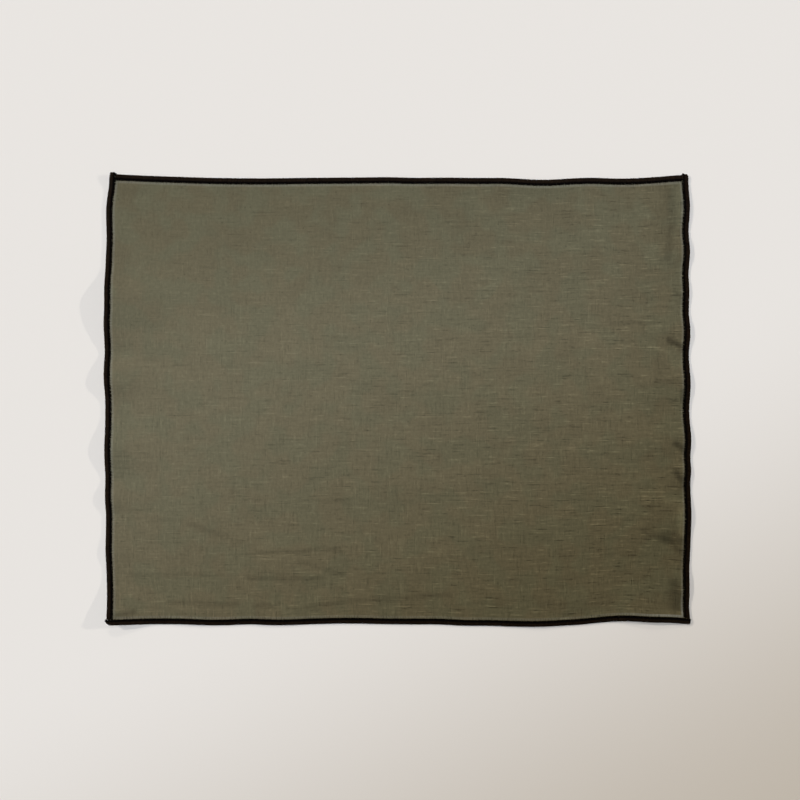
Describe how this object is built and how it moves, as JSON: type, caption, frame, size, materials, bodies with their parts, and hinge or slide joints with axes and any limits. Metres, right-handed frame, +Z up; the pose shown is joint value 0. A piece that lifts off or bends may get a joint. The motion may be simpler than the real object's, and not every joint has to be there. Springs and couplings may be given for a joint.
{
  "type": "placemat",
  "caption": "Rectangular linen placemat lying flat, with a narrow dense black stitched edging and a gently rippled rim.",
  "frame": {"origin": "centre of the mat's plan outline, on the surface it lies on", "axes": "+X along the mat's long side, +Y towards its back long side (the upper side in the picture), +Z up out of the table"},
  "size_m": [0.4583, 0.3553, 0.0116],
  "materials": {
    "linen": "plain-weave washed linen, matt, slubbed, olive khaki",
    "edging_thread": "dense black stitched thread with a soft sheen"
  },
  "bodies": {
    "root": {"linen_panel": "linen", "edging_top": "edging_thread", "edging_right": "edging_thread", "edging_bottom": "edging_thread", "edging_left": "edging_thread"}
  },
  "joints": []
}
